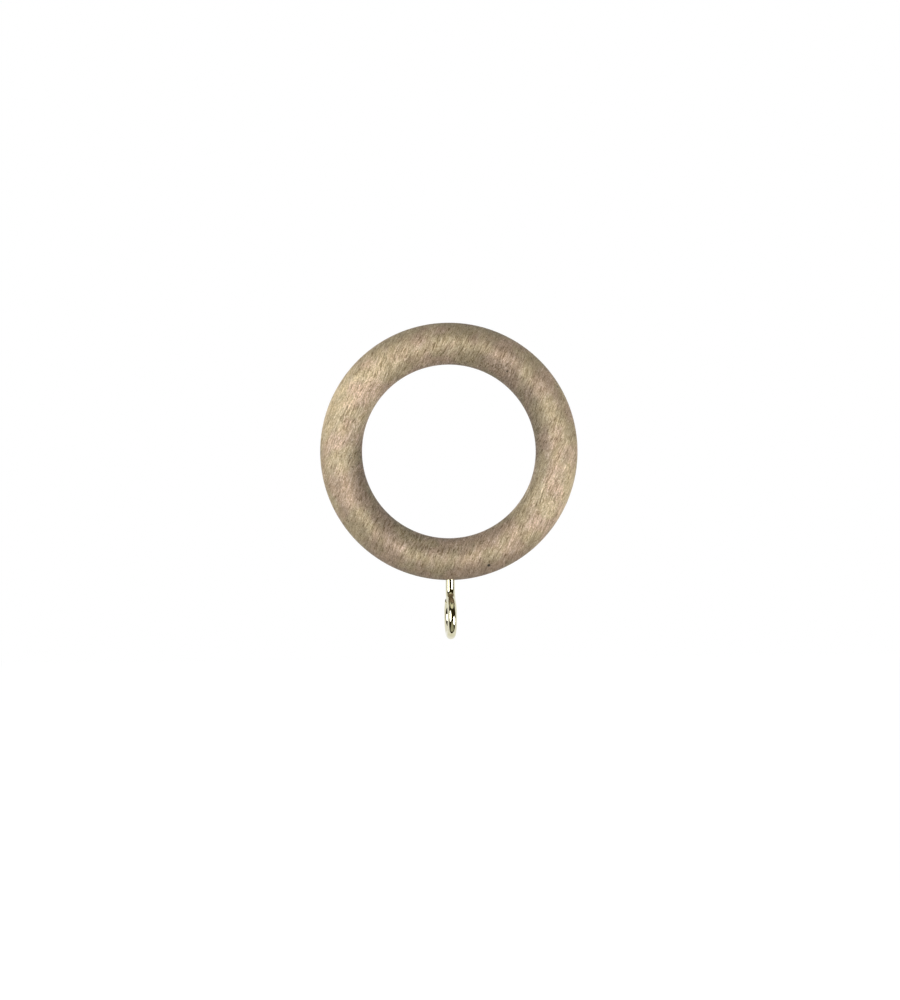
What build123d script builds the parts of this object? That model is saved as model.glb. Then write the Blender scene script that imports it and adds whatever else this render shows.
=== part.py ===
from build123d import *
import os
from math import acos, degrees, radians, sqrt, tan

# Wooden curtain ring with a screw eye. Sizes are in millimetres and angles in degrees.
# The pole passes through the ring along Y, Z is up, and the origin is the centre of the ring.

# Turned wooden ring
ring_outer_diameter = 70.0
section_diameter = 11.4

# Bent wire of the screw eye
wire_diameter = 2.5
eye_outer_diameter = 12.2
eye_drop = 16.1  # from the underside of the wood to the bottom of the eye
neck_bend_radius = 3.5  # along the middle of the wire, where the shank leans forward into the loop
cut_end_angle = 30.0  # from the top of the loop back to the cut end of the wire
cut_end_rounding = 0.1
eye_turn = 5.5  # how far the eye stops short of square to the ring, as it is screwed in

# Wood screw rolled on the same wire
embedded_length = 8.5  # from the underside of the wood to the tip of the point
plain_length = 1.5  # shank without thread, just inside the wood
point_length = 1.8
tip_diameter = 0.3
thread_pitch = 1.2
thread_crest_diameter = 2.8
thread_root_diameter = 1.9
thread_crest_width = 0.18
thread_flank_angle = 30.0  # between each side of a turn and square to the screw
thread_sink = 0.1  # how deep each turn is rooted in the core

# Fit of the screw in the wood
screw_clearance = 0.03  # all round the wire and its thread
thread_end_clearance = 0.1  # along the screw, past the first and last turn
hole_end_clearance = 0.3  # past the tip of the point
drill_overrun = 1.0  # how far the cutter of the hole reaches below the wood

# Places worked out from the sizes above
ring_outer_radius = ring_outer_diameter / 2
section_radius = section_diameter / 2
section_centre_radius = ring_outer_radius - section_radius
wood_underside = -ring_outer_radius
wire_radius = wire_diameter / 2
loop_radius = eye_outer_diameter / 2 - wire_radius
loop_centre_height = wood_underside - eye_drop + eye_outer_diameter / 2
# The neck bend touches the loop from outside, and ends where both run the same way
neck_rise = sqrt(loop_radius**2 + 2 * loop_radius * neck_bend_radius)
neck_height = loop_centre_height + neck_rise
neck_angle = degrees(acos(neck_rise / (loop_radius + neck_bend_radius)))
thread_height = (thread_crest_diameter - thread_root_diameter) / 2 + thread_sink
thread_flank_width = thread_height * tan(radians(thread_flank_angle))
thread_start = wood_underside + plain_length
point_start = wood_underside + embedded_length - point_length
thread_end = point_start - thread_flank_width - thread_crest_width / 2


def wire_path():
    """Middle of the bent wire, X forward and Y up: down the shank, forward at the neck, round the loop."""
    shank = Line((0, wood_underside), (0, neck_height))
    neck = CenterArc((neck_bend_radius, neck_height), neck_bend_radius, 180, 90 - neck_angle)
    loop_sweep = 360 - neck_angle - cut_end_angle
    loop = CenterArc((0, loop_centre_height), loop_radius, 90 - neck_angle, -loop_sweep)
    return shank + neck + loop


def bent_wire():
    """Plain shank, neck and loop below the wood, with the cut end of the wire rounded over."""
    eye_plane = Plane.YZ.rotated((0, 0, 180 + eye_turn))
    section = Pos(0, 0, wood_underside) * Circle(wire_radius)
    wire = sweep(section, eye_plane * wire_path())
    cut_end = wire.faces().filter_by(GeomType.PLANE).sort_by(Axis.Z).first
    return fillet(cut_end.edges(), cut_end_rounding)


def pointed_core(clearance, end_clearance, overrun):
    """The wire without its thread: plain shank, a step down to the root, and the point."""
    shank = wire_radius + clearance
    root = thread_root_diameter / 2 + clearance
    tip = tip_diameter / 2 + clearance
    bottom = wood_underside - overrun
    shoulder = point_start + end_clearance
    top = shoulder + point_length
    outline = Polyline(
        (0, bottom),
        (shank, bottom),
        (shank, thread_start),
        (root, thread_start + shank - root),
        (root, shoulder),
        (tip, top),
        (0, top),
        close=True,
    )
    return revolve(Plane.XZ * make_face(outline), Axis.Z)


def thread_turns(clearance, run_on):
    """The turns of the thread, from the plain shank up to the point, run on past both ends."""
    inside = thread_root_diameter / 2 - thread_sink + clearance
    crest = thread_crest_diameter / 2 + clearance
    crest_half_width = thread_crest_width / 2 + clearance
    root_half_width = crest_half_width + thread_flank_width
    start = thread_start - run_on
    height = thread_end - thread_start + 2 * run_on
    turns = Pos(0, 0, start) * Helix(thread_pitch, height, inside)
    section = Polyline(
        (inside, start - root_half_width),
        (crest, start - crest_half_width),
        (crest, start + crest_half_width),
        (inside, start + root_half_width),
        close=True,
    )
    ridge = sweep(Plane.XZ * make_face(section), turns, is_frenet=True)
    return Rot(0, 0, -360 * run_on / thread_pitch) * ridge


def screw_eye():
    """One piece of wire: the bent eye below the wood and the wood screw inside it."""
    return bent_wire() + pointed_core(0, 0, 0) + thread_turns(0, 0)


def screw_hole():
    """The blind hole that the screw cuts for itself, a little larger all round."""
    core = pointed_core(screw_clearance, hole_end_clearance, drill_overrun)
    return core + thread_turns(screw_clearance, thread_end_clearance)


def wooden_ring():
    """One turned ring of round section, with the hole for the screw in its underside."""
    section = Pos(section_centre_radius, 0) * Circle(section_radius)
    return revolve(section, Axis.Y) - screw_hole()


os.makedirs("parts", exist_ok=True)
export_step(wooden_ring(), "parts/wooden_ring.step")
export_step(screw_eye(), "parts/screw_eye.step")
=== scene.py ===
import math
import bpy
from mathutils import Euler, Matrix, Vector


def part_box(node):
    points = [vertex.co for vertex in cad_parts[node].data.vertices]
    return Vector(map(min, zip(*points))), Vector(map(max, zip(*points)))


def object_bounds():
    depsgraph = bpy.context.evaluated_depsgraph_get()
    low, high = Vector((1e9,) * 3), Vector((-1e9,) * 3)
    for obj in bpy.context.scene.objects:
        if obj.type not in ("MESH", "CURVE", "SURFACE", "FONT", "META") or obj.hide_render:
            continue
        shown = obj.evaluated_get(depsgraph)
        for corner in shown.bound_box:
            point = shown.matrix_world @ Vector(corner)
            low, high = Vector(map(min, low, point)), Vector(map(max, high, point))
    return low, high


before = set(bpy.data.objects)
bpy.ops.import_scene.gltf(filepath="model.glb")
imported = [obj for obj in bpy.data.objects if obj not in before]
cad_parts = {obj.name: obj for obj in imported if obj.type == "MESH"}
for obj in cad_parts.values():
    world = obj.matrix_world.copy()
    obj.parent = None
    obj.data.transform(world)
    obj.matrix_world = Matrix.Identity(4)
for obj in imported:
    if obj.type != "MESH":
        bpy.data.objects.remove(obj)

cad_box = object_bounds()
ring_low, ring_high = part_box("wooden_ring")
outer_radius = (ring_high.x - ring_low.x) / 2
section_radius = (ring_high.y - ring_low.y) / 2
middle_radius = outer_radius - section_radius
inner_radius = middle_radius - section_radius

# Lengths are in metres and colours in shares of the light, where nothing else is said
mm_per_metre = 1000
white = (1, 1, 1, 1)

# Framing, measured on the photograph in pixels, and how far the photograph leans
photo_height = 1000
photo_middle = (450.0, 500.0)
ring_middle_in_photo = (448.85, 451.4)
ring_width_in_photo = 257.4
photo_roll = math.radians(0.6)

# Camera
camera_lens_mm = 100.0
camera_sensor_mm = 36.0

# Stage
room_light = 0.42
floor_drop = 0.12
floor_size = 4.0
floor_paint = (0.6, 0.6, 0.6, 1)
floor_glow = 0.75
softbox_distance = 0.6

# What metal mirrors in front of the part
dark_room = (0.030, 0.022, 0.007, 1)
above_room = (0.11, 0.105, 0.085, 1)
bright_ceiling = (0.86, 0.84, 0.66, 1)
pale_table = (0.42, 0.41, 0.31, 1)

# Where those are: each pair says where the thing begins and where it is full. Up and back are parts of a
# direction of length 1. Slope is how far it goes across for each step up or down.
table_up = (-0.35, -0.45)
table_slope = (0.73, 0.63)
table_back = (-0.15, -0.21)
ceiling_bottom = (0.68, 0.74)
ceiling_top = (0.95, 0.91)
ceiling_slope = (0.48, 0.62)
above_up = (0.90, 0.95)
white_back = (0.0, 0.06)
# How much of the ceiling's brightness its sides have
ceiling_side_share = 0.35
# Keeps a level direction from being divided by nothing
least_rise = 0.001

# Wood: the direction of the fibres, seen from the front, up from the right
grain_angle = math.radians(66.0)
along_grain = (math.cos(grain_angle), 0.0, math.sin(grain_angle))

# How the fibres wander from straight, in millimetres: over what length, and how far from side to side
wander_length = 9.0
wander_reach = 1.5
wander_detail = 1.0

# Marks of the wood: their size in millimetres along the fibres, through the plank and across the fibres,
# where their pattern starts, and the detail and roughness of its noise
wood_marks = {
    "bands": ((45, 7, 3.2), (3, 1, 4), 2.0, 0.5),
    "blotches": ((8, 6, 6), (8, 4, 6), 2.0, 0.5),
    "clouds": ((3.0, 2.2, 1.8), (2, 7, 1), 2.0, 0.5),
    "streaks": ((5.0, 2.2, 0.5), (1, 5, 9), 3.0, 0.6),
    "hairs": ((3.0, 1.5, 0.24), (6, 2, 8), 1.5, 0.5),
    "flecks": ((1.7, 1.2, 0.27), (2, 6, 5), 1.2, 0.5),
    "lights": ((0.95, 0.9, 0.27), (8, 9, 7), 1.5, 0.5),
    "pores": ((0.8, 0.4, 0.11), (3, 2, 3), 1.0, 0.5),
    "grit": ((0.42, 0.42, 0.30), (5, 7, 2), 1.0, 0.5),
}

# The two tones of the stain, and how high the noise of the blotches is where each is reached
warm_tan = (0.547, 0.399, 0.271, 1)
olive_tan = (0.517, 0.409, 0.247, 1)
blotch_levels = (0.38, 0.62)

# Marks with an edge: how high their noise is where they begin and where they are full, and the tone there
edged_marks = {
    "hairs": ((0.35, 0.68), (0.93, 1.17)),
    "flecks": ((0.56, 0.68), (1.0, 0.52)),
    "lights": ((0.52, 0.66), (1.0, 1.22)),
    "pores": ((0.62, 0.74), (1.0, 0.62)),
}

# Marks without an edge: how far their noise goes to each side of a half, and the tone to each side of one
fine_swings = {"streaks": (0.25, 0.29), "grit": (0.2, 0.23)}
slow_swings = {"bands": (0.2, 0.06), "clouds": (0.2, 0.14)}

# Contrast of the fine marks, up to the middle of the wood and at its outer edge. Their stronger contrast at
# the middle is painted sheen, where the raised grain faces the front lamps.
inner_contrast = 1.04
outer_contrast = 0.72

# End grain: the part of the surface's normal that lies along the fibres where it is full, and its tone
# there.
# Its darkening is partly the stain that end grain drinks and partly painted shade, standing in for the sheen
# the fibres lose there. Where the fibres run straight out from the ring's middle it is torn as well.
full_end_grain = 0.49
end_grain_stain_and_shade_tone = 0.65
torn_tone = 0.79

# How much more strongly the fine marks change green and blue than red
green_power = 1.15
blue_power = 1.47

# Painted light and shade: the outer rim is painted palest near each end of this line through the ring's
# middle, where the side lamps light it, and the inner rim painted darker, as in shade. The swing is how much
# paler the outer rim is than the middle of the wood, and the inner rim darker: square to the line, and at
# its ends.
painted_rim_angle = math.radians(10.0)
painted_rim_swing = (0.01, 0.35)

# A paler stretch of the wood: across and up, where it is full and where it ends, and the tone in and past it
pale_stretch = (-0.014, 0.0245)
pale_stretch_reach = (0.006, 0.030)
pale_stretch_tones = (1.15, 0.99)

# Dark specks on the front of the wood: across, up, radius, and how much of the light they leave
dark_specks = (
    (0.0105, -0.0310, 0.00045, 0.12),
    (0.0296, 0.0172, 0.00040, 0.40),
    (0.0160, 0.0214, 0.00034, 0.40),
    (-0.0263, -0.0015, 0.00025, 0.50),
)
# A speck is full up to the first share of its radius, and ends at the second
speck_edge = (0.6, 1.3)

# Relief and gloss of the wood. It is roughest where the end grain and the noise of the streaks add up most.
fleck_height = -0.5
pore_height = -0.6
pore_edge_levels = (0.58, 0.76)
streak_height = 0.7
wood_bump_strength = 0.35
wood_bump_distance = 0.00006
wood_roughness = (0.46, 0.66)
wood_roughness_levels = (0.2, 1.5)
wood_ior = 1.5

# Brass: its tarnish comes in patches, and its drawing marks run along the shank
clean_brass = (0.71, 0.68, 0.51, 1)
tarnished_brass = (0.63, 0.60, 0.41, 1)
tarnish_per_mm = (0.7, 0.7, 0.7)
tarnish_levels = (0.35, 0.7)
drawing_marks_per_mm = (9, 9, 3)
drawing_mark_levels = (0.3, 0.7)
brass_noise_detail = 3.0
brass_noise_roughness = 0.6
brass_bump_strength = 0.25
brass_bump_distance = 0.00002
brass_roughness = (0.05, 0.12)


class Nodes:
    """Adds shader nodes to one tree. A value that isn't a socket is set on the node itself."""

    def __init__(self, tree):
        self.tree = tree
        tree.nodes.clear()

    def put(self, socket, value):
        if isinstance(value, bpy.types.NodeSocket):
            self.tree.links.new(value, socket)
        elif value is not None:
            socket.default_value = value

    def add(self, kind, *values, **settings):
        node = self.tree.nodes.new(kind)
        for name, value in settings.items():
            setattr(node, name, value)
        for socket, value in zip(node.inputs, values):
            self.put(socket, value)
        return node

    def math(self, operation, a, b=None, c=None):
        return self.add("ShaderNodeMath", a, b, c, operation=operation).outputs[0]

    def vector(self, operation, a, b=None):
        node = self.add("ShaderNodeVectorMath", a, b, operation=operation)
        return node.outputs["Value" if operation in ("DOT_PRODUCT", "LENGTH") else "Vector"]

    def combined(self, x, y, z):
        return self.add("ShaderNodeCombineXYZ", x, y, z).outputs[0]

    def chain(self, operation, values):
        result = values[0]
        for value in values[1:]:
            result = self.math(operation, result, value)
        return result

    def product(self, *values):
        return self.chain("MULTIPLY", values)

    def total(self, *values):
        return self.chain("ADD", values)

    def noise(self, place, detail, roughness=0.5, output=0):
        node = self.add("ShaderNodeTexNoise", place)
        node.inputs["Scale"].default_value = 1.0
        node.inputs["Detail"].default_value = detail
        node.inputs["Roughness"].default_value = roughness
        return node.outputs[output]

    def between(self, value, low, high, start=0.0, end=1.0, smooth=True):
        """The value's way from low to high, spread over start to end and held outside."""
        node = self.add("ShaderNodeMapRange", value, low, high, start, end)
        node.interpolation_type = "SMOOTHSTEP" if smooth else "LINEAR"
        return node.outputs["Result"]

    def swing(self, noise, noise_reach, tone_reach):
        """One where the noise is a half. At its reach to each side the tone's is added or taken off."""
        low, high = 0.5 - noise_reach, 0.5 + noise_reach
        return self.between(noise, low, high, 1 - tone_reach, 1 + tone_reach, False)

    def toned(self, mark, tone):
        """One where there is no mark, and the tone where it is full."""
        return self.between(mark, 0.0, 1.0, 1.0, tone, False)

    def blend(self, factor, a, b):
        node = self.add("ShaderNodeMix", data_type="RGBA", clamp_factor=True)
        for name, value in {"Factor": factor, "A": a, "B": b}.items():
            self.put(node.inputs[name], value)
        return node.outputs["Result"]

    def bump(self, height, strength, distance):
        node = self.add("ShaderNodeBump")
        node.inputs["Strength"].default_value = strength
        node.inputs["Distance"].default_value = distance
        self.put(node.inputs["Height"], height)
        return node.outputs[0]

    def surface(self, values):
        """Ends a material with the shader of a solid, from the names of its sockets and their values."""
        shader = self.add("ShaderNodeBsdfPrincipled")
        for name, value in values.items():
            self.put(shader.inputs[name], value)
        self.add("ShaderNodeOutputMaterial", shader.outputs[0])


def new_material(name):
    material = bpy.data.materials.new(name)
    material.use_nodes = True
    return material, Nodes(material.node_tree)


def wood_noises(n, place):
    """The noise of each mark, drawn out along the fibres."""
    # In millimetres: X along the fibres, Y through the plank, Z across the fibres
    mapping = n.add("ShaderNodeMapping", place)
    mapping.inputs["Rotation"].default_value = (0, grain_angle, 0)
    mapping.inputs["Scale"].default_value = (mm_per_metre, mm_per_metre, mm_per_metre)
    plank = mapping.outputs[0]

    wander = n.vector("MULTIPLY", plank, [1 / wander_length] * 3)
    wander = n.vector("SUBTRACT", n.noise(wander, wander_detail, output="Color"), (0.5, 0.5, 0.5))
    plank = n.vector("ADD", plank, n.vector("MULTIPLY", wander, (0.0, wander_reach, wander_reach)))

    noises = {}
    for name, (size, start, detail, roughness) in wood_marks.items():
        sized = n.vector("MULTIPLY", plank, [1 / length for length in size])
        noises[name] = n.noise(n.vector("ADD", sized, start), detail, roughness)
    return noises


def fine_marks_and_sheen(n, noises, radius):
    """What the fine marks make of red, green and blue: the lightest are less saturated, and painted sheen
    fades them outward.
    """
    fine = n.product(
        *(n.swing(noises[name], *reaches) for name, reaches in fine_swings.items()),
        *(n.between(noises[name], *levels, *tones) for name, (levels, tones) in edged_marks.items()),
    )
    # Painted sheen: the fine marks are strongest where the raised grain faces the front lamps, fainter
    # towards the outer edge
    contrast = n.between(radius, middle_radius, outer_radius, inner_contrast, outer_contrast, False)
    fine = n.math("POWER", fine, contrast)
    return n.combined(fine, n.math("POWER", fine, green_power), n.math("POWER", fine, blue_power))


def slow_shade(n, noises, end_grain, outward, radius):
    """What the larger changes in the wood make of its tone, with painted light and shade on its rims."""
    # Cut across the fibres the wood drinks more stain and is painted in shade for the sheen it loses there;
    # it drinks most where the turning tool tore them
    torn = n.math("DIVIDE", n.vector("DOT_PRODUCT", outward, along_grain), radius)
    # Painted light and shade: the outer rim is painted paler than the inner one, most at the sides, where
    # the lamps light it
    painted_rim_line = (math.cos(painted_rim_angle), 0.0, math.sin(painted_rim_angle))
    painted_rim_share = n.math("DIVIDE", n.vector("DOT_PRODUCT", outward, painted_rim_line), radius)
    painted_rim_share = n.between(n.math("MULTIPLY", painted_rim_share, painted_rim_share), 0.0, 1.0, *painted_rim_swing, False)
    inner_to_outer = n.between(radius, inner_radius, outer_radius, -1.0, 1.0, False)
    from_stretch = n.vector("LENGTH", n.vector("SUBTRACT", outward, (pale_stretch[0], 0, pale_stretch[1])))
    return n.product(
        n.between(from_stretch, *pale_stretch_reach, *pale_stretch_tones),
        *(n.swing(noises[name], *reaches) for name, reaches in slow_swings.items()),
        # End grain: darker stain, partly painted shade
        n.toned(end_grain, end_grain_stain_and_shade_tone),
        n.toned(n.math("MULTIPLY", torn, torn), torn_tone),
        # Painted light on the outer rim, painted shade on the inner one
        n.math("MULTIPLY_ADD", inner_to_outer, painted_rim_share, 1.0),
    )


def speck_shades(n, place):
    """What each dark speck leaves of the light."""
    full, end = speck_edge
    for x, z, size, left in dark_specks:
        depth = math.sqrt(section_radius ** 2 - (math.hypot(x, z) - middle_radius) ** 2)
        away = n.vector("LENGTH", n.vector("SUBTRACT", place, (x, -depth, z)))
        yield n.between(away, full * size, end * size, left, 1.0)


def wood_material():
    """Light grey tan stain on a fine, straight-grained hardwood."""
    material, n = new_material("stained_wood")
    place = n.add("ShaderNodeTexCoord").outputs["Object"]
    noises = wood_noises(n, place)
    normal = n.add("ShaderNodeNewGeometry").outputs["Normal"]
    along = n.math("ABSOLUTE", n.vector("DOT_PRODUCT", normal, along_grain))
    end_grain = n.between(along, 0.0, full_end_grain)
    outward = n.vector("MULTIPLY", place, (1, 0, 1))
    radius = n.vector("LENGTH", outward)

    tone = n.blend(n.between(noises["blotches"], *blotch_levels), warm_tan, olive_tan)
    shade = n.product(slow_shade(n, noises, end_grain, outward, radius), *speck_shades(n, place))
    colour = n.vector("MULTIPLY", tone, n.combined(shade, shade, shade))
    colour = n.vector("MULTIPLY", colour, fine_marks_and_sheen(n, noises, radius))

    fleck_levels = edged_marks["flecks"][0]
    height = n.total(
        n.math("MULTIPLY", n.between(noises["flecks"], *fleck_levels), fleck_height),
        n.math("MULTIPLY", n.between(noises["pores"], *pore_edge_levels), pore_height),
        n.math("MULTIPLY", noises["streaks"], streak_height),
    )
    openness = n.total(end_grain, noises["streaks"])
    n.surface({
        "Base Color": colour,
        "Roughness": n.between(openness, *wood_roughness_levels, *wood_roughness, False),
        "Normal": n.bump(height, wood_bump_strength, wood_bump_distance),
        "IOR": wood_ior,
    })
    return material


def brass_material():
    """Pale polished brass wire, with faint drawing marks and a little tarnish."""
    material, n = new_material("pale_brass")
    place = n.add("ShaderNodeTexCoord").outputs["Object"]
    place = n.vector("MULTIPLY", place, (mm_per_metre, mm_per_metre, mm_per_metre))
    tarnish, marks = (
        n.noise(n.vector("MULTIPLY", place, per_mm), brass_noise_detail, brass_noise_roughness)
        for per_mm in (tarnish_per_mm, drawing_marks_per_mm)
    )
    n.surface({
        "Base Color": n.blend(n.between(tarnish, *tarnish_levels), clean_brass, tarnished_brass),
        "Metallic": 1.0,
        "Roughness": n.between(marks, *drawing_mark_levels, *brass_roughness, False),
        "Normal": n.bump(marks, brass_bump_strength, brass_bump_distance),
    })
    return material


def dress(node, material):
    """Gives a solid of the frame its finish."""
    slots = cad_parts[node].data.materials
    slots.clear()
    slots.append(material)


def mirrored_studio(n, direction):
    """What metal mirrors: in front a dark room with strips of table and ceiling, and behind it white."""
    across, back, up = n.add("ShaderNodeSeparateXYZ", direction).outputs
    rise = n.math("MAXIMUM", n.math("ABSOLUTE", up), least_rise)
    slope = n.math("DIVIDE", n.math("ABSOLUTE", across), rise)
    table = n.product(
        n.between(up, *table_up),
        n.between(slope, *table_slope),
        n.between(back, *table_back),
    )
    ceiling = n.product(
        n.between(up, *ceiling_bottom),
        n.between(up, *ceiling_top),
        n.between(slope, *ceiling_slope, 1.0, ceiling_side_share),
    )
    studio = n.blend(n.between(up, *above_up), dark_room, above_room)
    studio = n.blend(ceiling, studio, bright_ceiling)
    studio = n.blend(table, studio, pale_table)
    return n.blend(n.between(back, *white_back), studio, white)


def make_world():
    """Even light from all round. The camera sees white, and shiny pieces mirror the studio."""
    world = bpy.data.worlds.new("white_studio")
    world.use_nodes = True
    bpy.context.scene.world = world
    n = Nodes(world.node_tree)
    direction = n.add("ShaderNodeTexCoord").outputs["Generated"]
    path = n.add("ShaderNodeLightPath").outputs
    colour = n.blend(path["Is Camera Ray"], (room_light, room_light, room_light, 1), white)
    mirrored = n.math("MAXIMUM", path["Is Glossy Ray"], path["Is Transmission Ray"])
    colour = n.blend(mirrored, colour, mirrored_studio(n, direction))
    background = n.add("ShaderNodeBackground", colour, 1.0)
    n.add("ShaderNodeOutputWorld", background.outputs[0])


def flat_panel(name, width, height):
    """A flat rectangle in its own XY plane."""
    x, y = width / 2, height / 2
    mesh = bpy.data.meshes.new(name)
    mesh.from_pydata([(-x, -y, 0), (x, -y, 0), (x, y, 0), (-x, y, 0)], [], [(0, 1, 2, 3)])
    panel = bpy.data.objects.new(name, mesh)
    bpy.context.scene.collection.objects.link(panel)
    return panel


def make_floor():
    """Pale floor below the hanging part: it shows white, less the shadow that falls on it."""
    floor = flat_panel("floor", floor_size, floor_size)
    floor.location = (0, 0, cad_box[0][2] - floor_drop)
    floor.visible_glossy = False
    material, n = new_material("pale_floor")
    paint = n.add("ShaderNodeBsdfDiffuse", floor_paint)
    seen = n.add("ShaderNodeLightPath").outputs["Is Camera Ray"]
    glow = n.add("ShaderNodeEmission", white, n.math("MULTIPLY", seen, floor_glow))
    both = n.add("ShaderNodeAddShader", paint.outputs[0], glow.outputs[0])
    n.add("ShaderNodeOutputMaterial", both.outputs[0])
    floor.data.materials.append(material)


def softbox(name, azimuth, elevation, reach, tilt, watts):
    """Oval soft lamp aimed at the middle of the ring.

    All but the power are degrees, seen from the middle of the ring. Azimuth starts at the camera and
    grows to the right of the picture. The reach is the oval's two half widths, and the tilt turns it
    about its own axis.
    """
    lamp = bpy.data.lights.new(name, "AREA")
    lamp.shape = "ELLIPSE"
    lamp.size, lamp.size_y = (2 * softbox_distance * math.tan(math.radians(angle)) for angle in reach)
    lamp.energy = watts
    box = bpy.data.objects.new(name, lamp)
    box.location = Vector((0, -softbox_distance, 0))
    box.location.rotate(Euler((math.radians(-elevation), 0, math.radians(azimuth))))
    box.rotation_euler = (-box.location).to_track_quat("-Z", "Y").to_euler()
    box.rotation_euler.rotate_axis("Z", math.radians(tilt))
    bpy.context.scene.collection.objects.link(box)


def make_camera():
    """Level camera straight in front, framed by where the ring's middle lies in the photograph."""
    metres_per_pixel = 2 * outer_radius / ring_width_in_photo
    right = (ring_middle_in_photo[0] - photo_middle[0]) * metres_per_pixel
    up = (photo_middle[1] - ring_middle_in_photo[1]) * metres_per_pixel
    aim_x = -right * math.cos(photo_roll) - up * math.sin(photo_roll)
    aim_z = right * math.sin(photo_roll) - up * math.cos(photo_roll)
    distance = camera_lens_mm / camera_sensor_mm * photo_height * metres_per_pixel
    data = bpy.data.cameras.new("camera")
    data.lens = camera_lens_mm
    data.sensor_width = camera_sensor_mm
    camera = bpy.data.objects.new("camera", data)
    camera.location = (aim_x, -distance, aim_z)
    camera.rotation_euler = (math.pi / 2, photo_roll, 0)
    bpy.context.scene.collection.objects.link(camera)
    bpy.context.scene.camera = camera


dress("wooden_ring", wood_material())
dress("screw_eye", brass_material())
make_world()
make_floor()
softbox("left_softbox", azimuth=-46.5, elevation=1, reach=(25, 23.4), tilt=-19, watts=2.4)
softbox("right_softbox", azimuth=48.5, elevation=-19, reach=(20.5, 16.5), tilt=-27, watts=3.8)
make_camera()
bpy.context.scene.view_settings.view_transform = "Standard"
